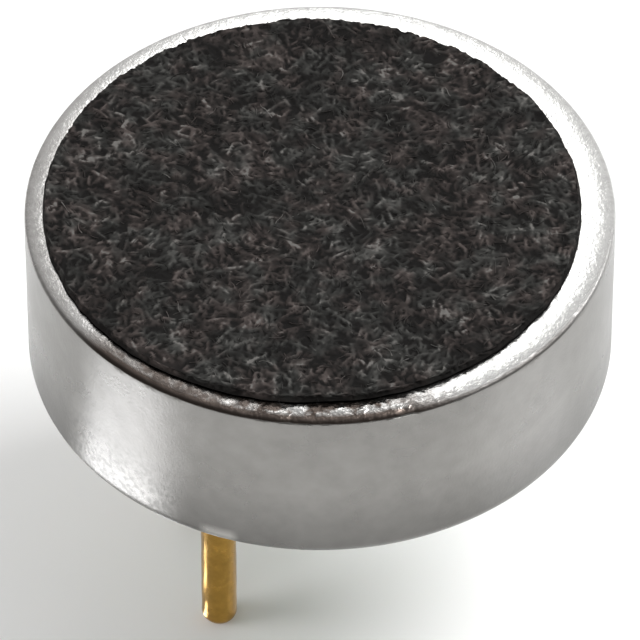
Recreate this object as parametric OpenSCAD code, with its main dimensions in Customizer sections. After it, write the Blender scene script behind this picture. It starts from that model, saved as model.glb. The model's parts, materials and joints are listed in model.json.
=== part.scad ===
// Electret microphone capsule with two solder pins, in millimetres.
// The origin is the centre of the curled rear lip, where the capsule sits on a circuit board.
// +Z runs to the felt-covered sound face, and the pins run down along -Z.

/* [Can] */
// Outside diameter of the can
can_d = 9.7; // [9.5:0.1:12]
// Height of the can, from the rear lip to the front face
can_h = 3.2; // [3.0:0.1:6]
// Thickness of the drawn sheet
can_t = 0.2; // [0.18:0.01:0.25]
// Inside radius of the bend between wall and front face
front_bend_r = 0.02; // [0.01:0.01:0.1]
// Inside radius of the rolled bend at the rear
rear_bend_r = 0.1; // [0.05:0.01:0.15]
// Width of the rear lip that is rolled over the board, from the outside wall
lip_w = 0.85; // [0.6:0.05:1]
// Diameter of the sound port in the front face
port_d = 2; // [1:0.1:3]

/* [Dust felt] */
// Diameter of the felt disc
felt_d = 8.8; // [8:0.05:9.1]
// Thickness of the felt disc
felt_t = 0.14; // [0.1:0.01:0.6]
// Radius of the felt's soft upper edge
felt_edge_r = 0.06; // [0.03:0.01:0.09]
// Felt centre's offset along X, as it was stuck on
felt_dx = -0.13; // [-0.2:0.01:0.2]
// Felt centre's offset along Y, as it was stuck on
felt_dy = -0.01; // [-0.2:0.01:0.2]
// Thickness of the adhesive under the felt
adhesive_t = 0.03; // [0.02:0.01:0.1]
// How far the adhesive stays inside the felt's edge
adhesive_inset = 0.12; // [0.05:0.01:0.3]
// How far the adhesive stays clear of the sound port
adhesive_port_gap = 1; // [0.5:0.1:1.5]

/* [Diaphragm stack] */
// Radial gap between the inner stack and the can
stack_gap = 0.04; // [0.02:0.01:0.08]
// Height of the diaphragm ring
ring_h = 0.4; // [0.3:0.05:0.6]
// Radial width of the diaphragm ring
ring_w = 0.75; // [0.5:0.05:1]
// Thickness of the metallised diaphragm film
film_t = 0.012; // [0.006:0.002:0.02]
// Thickness of the insulating spacer
spacer_t = 0.04; // [0.03:0.01:0.08]
// How far the spacer laps over the back plate
spacer_lap = 0.25; // [0.15:0.05:0.4]
// Thickness of the charged film on the back plate
electret_t = 0.025; // [0.012:0.001:0.05]
// Thickness of the back plate
plate_t = 0.3; // [0.2:0.05:0.4]
// Diameter of the holes through the back plate
vent_d = 0.8; // [0.5:0.1:1]
// Number of holes through the back plate
vent_count = 6; // [4:1:8]
// Diameter of the circle on which the holes lie
vent_circle_d = 4.2; // [3.5:0.1:4.6]

/* [Holder and gate ring] */
// Wall of the holder beside the back plate
holder_wall = 0.66; // [0.5:0.02:0.8]
// Radial gap between the back plate and its pocket
plate_gap = 0.03; // [0.02:0.01:0.06]
// Width of the shelf that carries the back plate
shelf_w = 0.6; // [0.4:0.05:0.65]
// Radial gap between the gate ring and the holder
gate_gap = 0.04; // [0.02:0.01:0.08]
// Wall of the gate ring
gate_wall = 0.2; // [0.15:0.05:0.25]

/* [Circuit board] */
// Thickness of the board
board_t = 0.6; // [0.4:0.1:0.8]
// Radial gap between the board and the can
board_gap = 0.05; // [0.03:0.01:0.1]
// Thickness of the copper on both faces
copper_t = 0.035; // [0.018:0.001:0.07]
// How far the ground ring shows inside the rear lip
ground_ring_show = 0.3; // [0.1:0.05:0.4]
// Width of the tracks between ground pin and ground ring
ground_track_w = 0.4; // [0.3:0.05:0.5]
// Angle between those tracks
ground_track_angle = 38; // [30:1:45]
// Margin of bare copper around each solder fillet
land_margin = 0.1; // [0.05:0.01:0.15]
// Width of the copper that shows around each pin's head
inner_land_w = 0.05; // [0.03:0.01:0.1]
// Width of the two tracks that carry the chips
bus_w = 0.55; // [0.4:0.05:0.6]

/* [Pins] */
// Diameter of a pin
pin_d = 0.6; // [0.5:0.05:0.7]
// Distance between the pins
pin_pitch = 2.54; // [2.2:0.01:2.7]
// Distance of the row of pins from the can's axis
pin_offset = 1.9; // [1.6:0.05:1.95]
// Length of the pins below the rear lip
pin_l = 5.05; // [3:0.05:7]
// Radius of the pins' rounded ends
pin_tip_r = 0.2; // [0.05:0.01:0.24]
// How far a pin's root widens in the board, on the radius
root_flare = 0.02; // [0.01:0.01:0.05]
// Radial gap between a pin's root and its hole
pin_gap = 0.02; // [0.01:0.01:0.05]
// Radial width of the flat head that stops a pin at the board's inner face
head_w = 0.18; // [0.16:0.01:0.22]
// Thickness of that head
head_t = 0.12; // [0.08:0.01:0.2]
// Radius of the solder fillet around a pin
fillet_r = 0.45; // [0.42:0.01:0.5]

/* [Transistor and capacitors] */
// Length of the transistor body, along Y
fet_l = 1.6; // [1.4:0.1:2]
// Width of the transistor body, along X
fet_w = 0.8; // [0.7:0.05:1]
// Height of the transistor body
fet_h = 0.7; // [0.5:0.05:0.9]
// Distance of the transistor from the can's axis, along X
fet_x = 1; // [0.9:0.05:1.2]
// Draft of the transistor's moulded sides
fet_draft = 0.06; // [0.02:0.01:0.1]
// Distance between the two leads on one side
lead_pitch = 1; // [0.9:0.05:1.1]
// Width of a lead
lead_w = 0.24; // [0.18:0.02:0.3]
// Thickness of a lead
lead_t = 0.1; // [0.08:0.01:0.14]
// Length of a lead outside the body
lead_l = 0.42; // [0.36:0.02:0.5]
// Length of a lead's foot
foot_l = 0.25; // [0.2:0.01:0.28]
// Gap between the transistor body and the level of its feet
fet_standoff = 0.05; // [0.02:0.01:0.1]
// Thickness of the solder under leads and chips
solder_t = 0.03; // [0.02:0.01:0.05]
// How far that solder spreads around a lead or chip end
solder_margin = 0.05; // [0.02:0.01:0.08]
// Length of a chip capacitor, along Y
cap_l = 1; // [0.9:0.05:1.2]
// Width of a chip capacitor
cap_w = 0.5; // [0.4:0.05:0.55]
// Height of a chip capacitor
cap_h = 0.5; // [0.3:0.05:0.6]
// Length of a capacitor's end terminal
cap_end = 0.25; // [0.2:0.01:0.3]
// Distance between the two capacitors
cap_pitch = 0.8; // [0.75:0.05:0.9]

/* [Hidden] */
$fn = 96;
// Cuts run past the faces they cut by this much
over = 0.1;

// Radii, from the can inwards
can_r = can_d / 2;
can_ir = can_r - can_t;
front_out_r = front_bend_r + can_t;
rear_out_r = rear_bend_r + can_t;
lip_r = can_r - lip_w;
ground_ring_r = lip_r - ground_ring_show;
stack_r = can_ir - max(stack_gap, front_bend_r);
pocket_r = stack_r - holder_wall;
plate_r = pocket_r - plate_gap;
shelf_r = plate_r - shelf_w;
gate_r = shelf_r - gate_gap;
gate_ir = gate_r - gate_wall;
board_r = can_ir - max(board_gap, rear_bend_r);
felt_r = felt_d / 2;

// Heights, from the rear lip to the felt
rear_copper_z = can_t;
board_z = rear_copper_z + copper_t;
holder_z = board_z + board_t;
parts_z = holder_z + copper_t;
ring_z = can_h - can_t - ring_h;
film_z = ring_z - film_t;
spacer_z = film_z - spacer_t;
electret_z = spacer_z - electret_t;
plate_z = electret_z - plate_t;
adhesive_z = can_h;
felt_z = adhesive_z + adhesive_t;
chip_z = parts_z + solder_t;

// Pins and their lands
pin_r = pin_d / 2;
root_r = pin_r + root_flare;
hole_r = root_r + pin_gap;
head_r = pin_r + head_w;
land_r = pin_r + fillet_r + land_margin;
output_pin_y = -pin_pitch / 2;
ground_pin_y = pin_pitch / 2;
fillet_z = rear_copper_z - fillet_r;

// Tracks and chips on the inner face
bus_y = cap_l / 2 - cap_end;
inner_land_r = head_r + inner_land_w;
cap_x = [-cap_pitch / 2, -cap_pitch * 3 / 2];
lead_knee = lead_l - foot_l;
lead_z = fet_h / 2;
// Every lead: the side of the body that it leaves, and its place along Y
leads = [[-1, -lead_pitch / 2], [-1, lead_pitch / 2], [1, 0]];

// A flat ring that stands on height z
module flat_ring(outer_r, inner_r, z, h) {
    translate([0, 0, z])
    difference() {
        cylinder(r = outer_r, h = h);
        translate([0, 0, -over])
        cylinder(r = inner_r, h = h + 2 * over);
    }
}

// One quarter of a bent sheet's section
module bend_section(outer_r, inner_r) {
    intersection() {
        difference() {
            circle(r = outer_r);
            circle(r = inner_r);
        }
        square(outer_r);
    }
}

// A disc with the back plate's holes through it
module perforated_disc(z, h) {
    translate([0, 0, z])
    difference() {
        cylinder(r = plate_r, h = h);
        for (i = [0 : vent_count - 1])
            rotate(i * 360 / vent_count)
            translate([vent_circle_d / 2, 0, -over])
            cylinder(d = vent_d, h = h + 2 * over);
    }
}

module dust_felt() {
    color("#3b3938")
    translate([felt_dx, felt_dy, felt_z])
    rotate_extrude() {
        square([felt_r - felt_edge_r, felt_t]);
        square([felt_r, felt_t - felt_edge_r]);
        translate([felt_r - felt_edge_r, felt_t - felt_edge_r])
        circle(r = felt_edge_r);
    }
}

module felt_adhesive() {
    color("#d8cfae")
    translate([felt_dx, felt_dy, 0])
    flat_ring(felt_r - adhesive_inset, port_d / 2 + adhesive_port_gap, adhesive_z, adhesive_t);
}

// The can: a drawn cup whose open end is rolled over the board
module can() {
    color("#c9c8c5")
    rotate_extrude() {
        translate([port_d / 2, can_h - can_t])
        square([can_r - front_out_r - port_d / 2, can_t]);
        translate([can_r - front_out_r, can_h - front_out_r])
        bend_section(front_out_r, front_bend_r);
        translate([can_ir, rear_out_r])
        square([can_t, can_h - front_out_r - rear_out_r]);
        translate([can_r - rear_out_r, rear_out_r])
        mirror([0, 1])
        bend_section(rear_out_r, rear_bend_r);
        translate([lip_r, 0])
        square([can_r - rear_out_r - lip_r, can_t]);
    }
}

module diaphragm_ring() {
    color("#d1b464")
    flat_ring(stack_r, stack_r - ring_w, ring_z, ring_h);
}

module diaphragm() {
    color("#c8ccd0")
    translate([0, 0, film_z])
    cylinder(r = stack_r, h = film_t);
}

module spacer() {
    color("#d98e32")
    flat_ring(stack_r, plate_r - spacer_lap, spacer_z, spacer_t);
}

module electret_film() {
    color("#e6e6e2")
    perforated_disc(electret_z, electret_t);
}

module back_plate() {
    color("#cfae5a")
    perforated_disc(plate_z, plate_t);
}

// The holder: an insulating ring with a pocket for the back plate
module holder() {
    color("#e4e0d4")
    rotate_extrude()
    polygon([
        [shelf_r, holder_z], [stack_r, holder_z], [stack_r, spacer_z],
        [pocket_r, spacer_z], [pocket_r, plate_z], [shelf_r, plate_z]
    ]);
}

module gate_ring() {
    color("#d6b866")
    flat_ring(gate_r, gate_ir, parts_z, plate_z - parts_z);
}

// Puts its children at both pins
module at_pins() {
    for (y = [output_pin_y, ground_pin_y])
        translate([-pin_offset, y])
        children();
}

module circuit_board() {
    color("#3f6b3a")
    translate([0, 0, board_z])
    difference() {
        cylinder(r = board_r, h = board_t);
        translate([0, 0, -over])
        at_pins()
        cylinder(r = hole_r, h = board_t + 2 * over);
    }
}

// One track from the chips to a pin, on the side given by +1 or -1
module chip_track(side) {
    mirror([0, side > 0 ? 0 : 1]) {
        translate([-pin_offset - hole_r, bus_y])
        square([fet_x - fet_w / 2 + pin_offset + hole_r, bus_w]);
        translate([-pin_offset - hole_r, bus_y])
        square([2 * hole_r, pin_pitch / 2 - bus_y]);
        translate([-pin_offset, pin_pitch / 2])
        circle(r = inner_land_r);
    }
}

// The land of the gate ring, with the track to the transistor's gate
module gate_land() {
    difference() {
        circle(r = gate_r);
        circle(r = gate_ir - land_margin);
    }
    gate_track_x = fet_x + fet_w / 2 + solder_margin;
    translate([gate_track_x, -bus_w / 2])
    square([gate_ir - gate_track_x, bus_w]);
}

module front_copper() {
    color("#b9803f")
    translate([0, 0, holder_z])
    linear_extrude(copper_t)
    difference() {
        union() {
            gate_land();
            for (side = [-1, 1])
                chip_track(side);
        }
        at_pins()
        circle(r = hole_r);
    }
}

// The tracks that fan out from the ground pin to the ground ring
module ground_tracks() {
    outward = atan2(ground_pin_y, -pin_offset);
    intersection() {
        circle(r = board_r - board_gap);
        translate([-pin_offset, ground_pin_y])
        for (i = [-1 : 1])
            rotate(outward + i * ground_track_angle)
            translate([0, -ground_track_w / 2])
            square([can_r, ground_track_w]);
    }
}

module rear_copper() {
    color("#c79a4b")
    translate([0, 0, rear_copper_z])
    linear_extrude(copper_t)
    difference() {
        union() {
            difference() {
                circle(r = board_r - board_gap);
                circle(r = ground_ring_r);
            }
            ground_tracks();
            at_pins()
            circle(r = land_r);
        }
        at_pins()
        circle(r = hole_r);
    }
}

// The transistor's moulding, widest on the line where its leads come out
module transistor_body() {
    half_w = fet_w / 2;
    color("#26262a")
    translate([fet_x, fet_l / 2, chip_z + fet_standoff])
    rotate([90, 0, 0])
    linear_extrude(fet_l)
    polygon([
        [-half_w + fet_draft, 0], [half_w - fet_draft, 0], [half_w, lead_z],
        [half_w - fet_draft, fet_h], [-half_w + fet_draft, fet_h], [-half_w, lead_z]
    ]);
}

// Puts its children at the root of each lead, with X pointing away from the body
module at_leads() {
    for (lead = leads)
        translate([fet_x + lead[0] * fet_w / 2, lead[1], 0])
        mirror([lead[0] < 0 ? 1 : 0, 0, 0])
        children();
}

// A gull-wing lead that leaves the body at its widest line and lands on its foot
module lead_profile() {
    top = fet_standoff + lead_z;
    root_x = -fet_draft * lead_t / lead_z;
    polygon([
        [0, top], [lead_knee, top], [lead_knee, lead_t], [lead_l, lead_t], [lead_l, 0],
        [lead_knee - lead_t, 0], [lead_knee - lead_t, top - lead_t], [root_x, top - lead_t]
    ]);
}

module transistor_leads() {
    color("#c9c9c9")
    translate([0, 0, chip_z])
    at_leads()
    translate([0, lead_w / 2, 0])
    rotate([90, 0, 0])
    linear_extrude(lead_w)
    lead_profile();
}

module transistor_solder() {
    color("#b8babd")
    at_leads()
    translate([lead_knee - lead_t, -lead_w / 2 - solder_margin, parts_z])
    cube([lead_l + lead_t - lead_knee + solder_margin, lead_w + 2 * solder_margin, solder_t]);
}

// The ceramic middle of one capacitor, and its two metal ends
module capacitor_body(x) {
    color("#a98a68")
    translate([x - cap_w / 2, -cap_l / 2 + cap_end, chip_z])
    cube([cap_w, cap_l - 2 * cap_end, cap_h]);
}

module capacitor_ends(x) {
    color("#c4c6c8")
    for (side = [0, 1])
        mirror([0, side, 0])
        translate([x - cap_w / 2, cap_l / 2 - cap_end, chip_z])
        cube([cap_w, cap_end, cap_h]);
}

module capacitor_solder() {
    color("#b8babd")
    for (x = cap_x, side = [0, 1])
        mirror([0, side, 0])
        translate([x - cap_w / 2, cap_l / 2 - cap_end, parts_z])
        cube([cap_w, cap_end + solder_margin, solder_t]);
}

// A headed pin: rounded end, plain shank, root that widens in the board, flat head inside
module pin(y) {
    color("#c9a14e")
    translate([-pin_offset, y, 0])
    rotate_extrude() {
        translate([0, -pin_l])
        square([pin_r - pin_tip_r, pin_tip_r]);
        intersection() {
            translate([pin_r - pin_tip_r, pin_tip_r - pin_l])
            circle(r = pin_tip_r);
            translate([0, -pin_l])
            square([pin_r, pin_tip_r]);
        }
        translate([0, pin_tip_r - pin_l])
        square([pin_r, pin_l - pin_tip_r + rear_copper_z]);
        polygon([
            [0, rear_copper_z], [pin_r, rear_copper_z], [root_r, parts_z], [0, parts_z]
        ]);
        translate([0, parts_z])
        square([head_r, head_t]);
    }
}

// The solder that wets the land and the start of the shank
module pin_solder(y) {
    color("#bfc1c3")
    translate([-pin_offset, y, 0])
    rotate_extrude()
    difference() {
        translate([pin_r, fillet_z])
        square(fillet_r);
        translate([pin_r + fillet_r, fillet_z])
        circle(r = fillet_r);
    }
}

dust_felt();
felt_adhesive();
can();
diaphragm_ring();
diaphragm();
spacer();
electret_film();
back_plate();
holder();
gate_ring();
circuit_board();
front_copper();
rear_copper();
transistor_body();
transistor_leads();
transistor_solder();
capacitor_body(cap_x[0]);  // capacitor_1_body
capacitor_ends(cap_x[0]);  // capacitor_1_ends
capacitor_body(cap_x[1]);  // capacitor_2_body
capacitor_ends(cap_x[1]);  // capacitor_2_ends
capacitor_solder();
pin(output_pin_y);  // output_pin
pin(ground_pin_y);  // ground_pin
pin_solder(output_pin_y);  // output_pin_solder
pin_solder(ground_pin_y);  // ground_pin_solder
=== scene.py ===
"""Dresses a packed microphone capsule: can, dust felt, pins, solder and board, on a plain stage."""
import json
import math
import random

import bmesh
import bpy
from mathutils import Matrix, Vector, noise
from mathutils.geometry import delaunay_2d_cdt


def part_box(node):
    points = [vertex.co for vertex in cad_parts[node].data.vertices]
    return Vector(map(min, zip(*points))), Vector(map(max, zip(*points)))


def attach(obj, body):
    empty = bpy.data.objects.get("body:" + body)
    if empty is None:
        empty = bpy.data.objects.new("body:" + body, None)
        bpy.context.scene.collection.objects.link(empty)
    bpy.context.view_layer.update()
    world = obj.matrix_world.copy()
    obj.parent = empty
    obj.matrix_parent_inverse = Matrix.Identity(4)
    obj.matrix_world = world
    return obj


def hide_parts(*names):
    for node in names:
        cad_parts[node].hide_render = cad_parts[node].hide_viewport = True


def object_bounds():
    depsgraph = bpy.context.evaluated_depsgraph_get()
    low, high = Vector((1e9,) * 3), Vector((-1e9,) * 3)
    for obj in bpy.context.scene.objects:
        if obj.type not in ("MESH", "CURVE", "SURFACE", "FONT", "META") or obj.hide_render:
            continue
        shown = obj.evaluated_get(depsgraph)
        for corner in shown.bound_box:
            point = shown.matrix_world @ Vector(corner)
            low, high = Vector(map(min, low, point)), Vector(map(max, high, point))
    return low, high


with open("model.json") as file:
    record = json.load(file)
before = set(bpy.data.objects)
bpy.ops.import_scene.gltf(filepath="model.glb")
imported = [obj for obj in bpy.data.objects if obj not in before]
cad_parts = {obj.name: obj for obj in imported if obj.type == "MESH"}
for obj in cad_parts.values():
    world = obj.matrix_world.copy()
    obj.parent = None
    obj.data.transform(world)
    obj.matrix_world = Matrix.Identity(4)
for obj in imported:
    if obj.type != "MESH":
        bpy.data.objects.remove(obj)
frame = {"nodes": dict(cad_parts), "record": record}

bl_info = {
    "name": "Microphone Capsule",
    "version": (1, 0, 0),
    "blender": (4, 5, 0),
    "location": "3D View > Sidebar > Capsule",
    "description": "Makes the visible pieces of a microphone capsule around its packed solids",
    "category": "Add Mesh",
}

MM = 0.001
FULL_TURN = 2 * math.pi
BODY = "root"
CAD_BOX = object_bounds()

# The can's front rim: its width, the slope where it becomes wall, and half the height of that change
RIM_WIDTH = 0.75 * MM
RIM_END_DEGREES = 15
RIM_BLEND = 0.01 * MM
# Points around each round piece, and the factor that gives each pin its own unevenness
CROWN_STEPS, CAN_STEPS, PIN_STEPS, SOLDER_STEPS = 12, 900, 56, 96
DISC_STEPS, HOLE_STEPS, LAND_STEPS = 256, 64, 96
PIN_SALT = 9e4
# Dents and nicks in the rim: their share on the clean side, and the nicks' place around the axis
LEAST_WORN = 0.15
NICK_MIDDLE, NICK_SPREAD = math.radians(-97), math.radians(24)
# How far the drawn wall wanders from a true cylinder
WAVINESS = 0.002 * MM
# Marks on the can: a direction from its axis, and how far along it a mark starts and is full
# Grime together with painted shade, strongest on the rim's front-left side
GRIME_AND_SHADE_SIDE = (-0.39, -0.92, 0), 3.3 * MM, 4.05 * MM
PITTED = (-0.07, -0.998, 0), 4.15 * MM, 4.55 * MM
# Painted dark line on the rim next to the wall, strongest on the front
PAINTED_DARK_LINE_SIDE = (-0.07, -0.998, 0), 0.5 * MM, 3.2 * MM
SPECKLED = (-0.785, -0.62, 0), 4.66 * MM, 4.8 * MM
# The painted glint, a paler patch on the rear bend: the direction across it, and where it fades sideways
PAINTED_GLINT_ACROSS = (0.883, -0.469, 0)
PAINTED_GLINT_HALF = 0.2 * MM, 0.36 * MM
# Heights between which marks on the wall fade: painted glint on the rear bend, painted shade on the lower
# wall, specks
PAINTED_GLINT_TOP = 0.26 * MM, 0.44 * MM
PAINTED_SHADE_TOP = 0.3 * MM, 1.5 * MM
SPECKLED_TOP = 0.5 * MM, 1.6 * MM
# Places along X between which the grime and painted shade on the rim's left side fade
LEFT_GRIME_AND_SHADE = -4.4 * MM, -1.5 * MM
# Distances from the wall at which the rim's lower grime with painted shade, and its painted dark line, start
# and are full
LOWER_GRIME_AND_SHADE = 0.23 * MM, 0.12 * MM
PAINTED_DARK_LINE = 0.11 * MM, 0.05 * MM
# Sizes of the can's grain: fine grain, specks, rubbing marks, patches and clouds
GRAIN, SPECK, RUB, PATCH, CLOUD = 0.06 * MM, 0.1 * MM, 0.17 * MM, 0.3 * MM, 1.1 * MM
# Finish of each slot inside the can: material, whether it is a metal, roughness, shade of its colour
INSIDE = {
    "adhesive": ("transfer_adhesive", False, 0.45, 0.15),
    "ring_brass": ("stamped_brass", True, 0.32, 1),
    "metallised_film": ("metallised_film", True, 0.15, 1),
    "spacer_film": ("amber_film", False, 0.25, 1),
    "electret_film": ("charged_film", False, 0.3, 1),
    "holder_plastic": ("holder_plastic", False, 0.5, 1),
    "copper": ("inner_copper", True, 0.3, 1),
    "moulding": ("black_moulding", False, 0.55, 1),
    "tinned_lead": ("matt_tin", True, 0.35, 1),
    "solder": ("inner_solder", True, 0.25, 1),
    "ceramic": ("chip_ceramic", False, 0.6, 1),
}
# Soft boxes: place as (right, away, up) seen from the camera, size, both in millimetres, and watts
SOFT_BOXES = {
    "key_box": ((82, 22, 124), (66, 66), 0.19),
    "back_card": ((2, 106, 106), (20, 58), 0.0105),
    "left_fill": ((-120, -20, 26), (90, 50), 0.024),
    "front_fill": ((-50, -120, 70), (120, 80), 0.006),
}
# Cards that shine up from the floor: place as (right, away) from the can's axis or the output pin
AXIS_CARDS = {
    "bounce_card": ((-9, -4.15), (4, 5.4), 193e-6),
    "right_card": ((9.5, -3.4), (5, 6.4), 42e-6),
}
PIN_CARDS = {
    "pin_card_low": ((-0.53, -0.14), (0.4, 0.17), 1.3e-6),
    "pin_card_mid": ((-1.3, 0), (0.46, 0.49), 4e-6),
    "pin_card_high": ((-1.8, 0.08), (0.3, 0.7), 3.6e-6),
    "pin_card_right": ((1.2, 0.1), (1.6, 1.2), 1.6e-6),
}
CARD_HEIGHT = 0.02 * MM
CARD_COLOUR = (0.943, 0.957, 1)
FILL_SPREAD_DEGREES = 60
AIM_HEIGHT = 3 * MM
# Colours of the surroundings, from the camera's side to the far side
SKY = ((0, (0.27, 0.255, 0.245)), (0.3, (0.27, 0.27, 0.27)), (0.62, (0.6, 0.6, 0.6)), (1, (1, 1, 1)))
FLOOR_HALF = 400 * MM
FLOOR_CORNERS = ((-1, -1), (1, -1), (1, 1), (-1, 1))


# What the frame gives

def node_box(node):
    """Centre, half size, lowest and highest corner of a solid."""
    low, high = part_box(node)
    return (low + high) / 2, (high - low) / 2, low, high


_, CAN_HALF, _, CAN_HIGH = node_box("can")
FELT_MID, FELT_HALF, FELT_LOW, FELT_HIGH = node_box("dust_felt")
_, BOARD_HALF, BOARD_LOW, BOARD_HIGH = node_box("circuit_board")
_, COPPER_HALF, COPPER_LOW, COPPER_HIGH = node_box("rear_copper")
INNER_COPPER_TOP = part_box("front_copper")[1].z
PIN_RADIUS = MM * next(
    mount["dims"]["r_mm"] for mount in frame["record"]["mounts"] if mount["name"] == "output_pin"
)


# Sizes and colours that a user may change

def length(text, default):
    """A length in metres."""
    return bpy.props.FloatProperty(
        description=text, default=default, min=0, precision=6, subtype="DISTANCE", unit="LENGTH"
    )


def share(text, default):
    """A number from 0 to 1."""
    return bpy.props.FloatProperty(description=text, default=default, min=0, max=1, subtype="FACTOR")


def angle(text, degrees):
    """An angle, given in degrees and kept in radians."""
    return bpy.props.FloatProperty(
        description=text, default=math.radians(degrees), subtype="ANGLE", unit="ROTATION"
    )


def colour(text, default):
    """A linear colour."""
    return bpy.props.FloatVectorProperty(
        description=text, default=default, size=3, min=0, max=1, subtype="COLOR"
    )


def count(text, default):
    """A whole number."""
    return bpy.props.IntProperty(description=text, default=default, min=0)


def label(key):
    """A setting's key as the panel shows it."""
    return key.replace("_", " ").title()


class CanLooks(bpy.types.PropertyGroup):
    """Sizes and finish of the drawn can."""
    sheet: length("Thickness of the drawn sheet", 0.2 * MM)
    front_bend: length("Outside radius of the bend at the front", 0.22 * MM)
    rear_bend: length("Outside radius of the rolled bend at the rear", 0.3 * MM)
    lip: length("Width of the rolled rear lip", 0.85 * MM)
    port: length("Radius of the hole under the felt", 1.0 * MM)
    crown: length("Width over which the front face falls to the wall", 0.34 * MM)
    lean: angle("Slope of the front face where its edge bends", 8)
    edge_bend: length("Radius of the bend between the front face and the wall", 0.07 * MM)
    dent: length("Height of the small dents along the front edge", 0.009 * MM)
    nick: length("Depth of the nicks in the front edge", 0.013 * MM)
    nicks: count("Number of nicks in the front edge", 34)
    metal: colour("Colour of the satin wall", (0.27, 0.264, 0.251))
    rubbed: colour("Colour of the front edge", (0.72, 0.715, 0.7))
    # The rim's grime colour also paints shade on its front-left, left and outer part, and, darkened, its
    # painted dark line
    grime: colour("Colour of the worn part of the front edge", (0.115, 0.093, 0.081))
    roughness: share("Roughness of the satin wall", 0.3)
    rubbed_roughness: share("Roughness of the front edge", 0.15)


class FeltLooks(bpy.types.PropertyGroup):
    """Shape and fibres of the dust felt."""
    edge: length("Radius of the soft upper edge", 0.06 * MM)
    lump: length("Height of the lumps on the felt's face", 0.012 * MM)
    ragged: length("How far the cut edge wanders", 0.06 * MM)
    grid: length("Distance between points of the felt's face", 0.03 * MM)
    tufts: count("Pressed tufts on the felt's face", 8400)
    tuft_rise: length("Height of a pressed tuft", 0.045 * MM)
    tuft_width: length("Width of a pressed tuft", 0.092 * MM)
    layers: count("Number of layers of fine fibres", 2)
    fibres: count("Fine fibres in each layer", 600)
    loose_fibres: count("Paler fibres that lie on top", 200)
    edge_fibres: count("Short fibres that fray the cut edge", 130)
    shortest: length("Length of the shortest fibre", 0.12 * MM)
    longest: length("Length of the longest fibre", 0.28 * MM)
    flat: share("Height of a fibre as a share of its width", 0.45)
    lift: length("How far fibres rise from the felt's face", 0.007 * MM)
    # Darkest felt colour, which also shows painted shade between the tufts and low on the cut side
    dark: colour("Colour between the tufts", (0.0073, 0.0067, 0.0064))
    base: colour("Colour of most fibres", (0.0296, 0.0271, 0.0258))
    light: colour("Colour of the palest fibres", (0.122, 0.116, 0.11))


class PinLooks(bpy.types.PropertyGroup):
    """Shape and finish of the pins and of the solder around them."""
    tip: length("Radius of the rounded end", 0.2 * MM)
    root: length("How far the root widens in the board", 0.02 * MM)
    wobble: length("Unevenness of the plated surface", 0.005 * MM)
    fillet: length("Radius of the solder fillet", 0.45 * MM)
    gold: colour("Colour of the plating", (0.455, 0.262, 0.057))
    roughness: share("Roughness of the plating", 0.22)
    solder: colour("Colour of the solder", (0.56, 0.57, 0.58))


class BoardLooks(bpy.types.PropertyGroup):
    """Pattern and finish of the board's outer face."""
    hole: length("Radius of the pin holes", 0.34 * MM)
    land: length("Radius of the copper around a pin", 0.85 * MM)
    ring: length("Inside radius of the ground ring", 3.7 * MM)
    track: length("Width of the ground tracks", 0.4 * MM)
    fan: angle("Angle between the ground tracks", 38)
    mask: colour("Colour of the solder mask", (0.012, 0.1, 0.03))
    copper: colour("Colour of the gold-flashed copper", (0.7, 0.45, 0.16))


class StageLooks(bpy.types.PropertyGroup):
    """Camera, floor and lights."""
    azimuth: angle("Camera's turn about the upright axis", -8)
    elevation: angle("Camera's height above the horizon", 45.67)
    distance: length("Camera's distance from its target", 140 * MM)
    target: length("Height of the camera's target", 0.57 * MM)
    lens: bpy.props.FloatProperty(description="Focal length in millimetres", default=474.0)
    floor: colour("Colour of the floor", (0.85, 0.85, 0.85))


# Meshes

def add_object(name, mesh, material=None):
    """A new object at the origin that holds the mesh, and names it."""
    mesh.name = name
    if material:
        mesh.materials.clear()
        mesh.materials.append(material)
    item = bpy.data.objects.new(name, mesh)
    bpy.context.scene.collection.objects.link(item)
    return item


def finish_mesh(points, faces, sharp_degrees):
    """A closed smooth mesh with outward faces, sharp where it turns more than the angle."""
    mesh = bpy.data.meshes.new("piece")
    mesh.from_pydata(points, [], faces)
    work = bmesh.new()
    work.from_mesh(mesh)
    bmesh.ops.recalc_face_normals(work, faces=work.faces)
    work.to_mesh(mesh)
    work.free()
    mesh.shade_smooth()
    mesh.set_sharp_from_angle(angle=math.radians(sharp_degrees))
    mesh.update()
    return mesh


def zipped(one, two):
    """Faces between two rings of point numbers, which may differ in length; a pole is one point."""
    if len(one) == len(two):
        return [(one[i - 1], two[i - 1], two[i], one[i]) for i in range(len(one))]
    faces, i, j = [], 0, 0
    while i < len(one) or j < len(two):
        a, b = one[i % len(one)], two[j % len(two)]
        if (i + 1) * len(two) <= (j + 1) * len(one):
            i += 1
            if len(one) > 1:
                faces.append((a, b, one[i % len(one)]))
        else:
            j += 1
            if len(two) > 1:
                faces.append((a, b, two[j % len(two)]))
    return faces


def polar(radius, turn, height=0.0):
    """A point at a distance from the upright axis, at an angle around it."""
    return Vector((radius * math.cos(turn), radius * math.sin(turn), height))


def turned(profile, steps, centre=(0, 0), shape=None, loop=False, sharp_degrees=40):
    """A mesh turned about an upright axis from (radius, height) points.

    A point on the axis becomes one pole, and loop joins the last point to the first.
    shape moves a point: it gets the point, its index in the profile and its angle.
    """
    points, rings, faces = [], [], []
    for index, (radius, height) in enumerate(profile):
        turns = steps if radius > 0 else 1
        rings.append(range(len(points), len(points) + turns))
        for step in range(turns):
            turn = FULL_TURN * step / steps
            point = polar(radius, turn, height)
            if shape:
                point = shape(point, index, turn)
            points.append((point.x + centre[0], point.y + centre[1], point.z))
    if loop:
        rings.append(rings[0])
    for one, two in zip(rings, rings[1:]):
        faces += zipped(one, two)
    return finish_mesh(points, faces, sharp_degrees)


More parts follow.
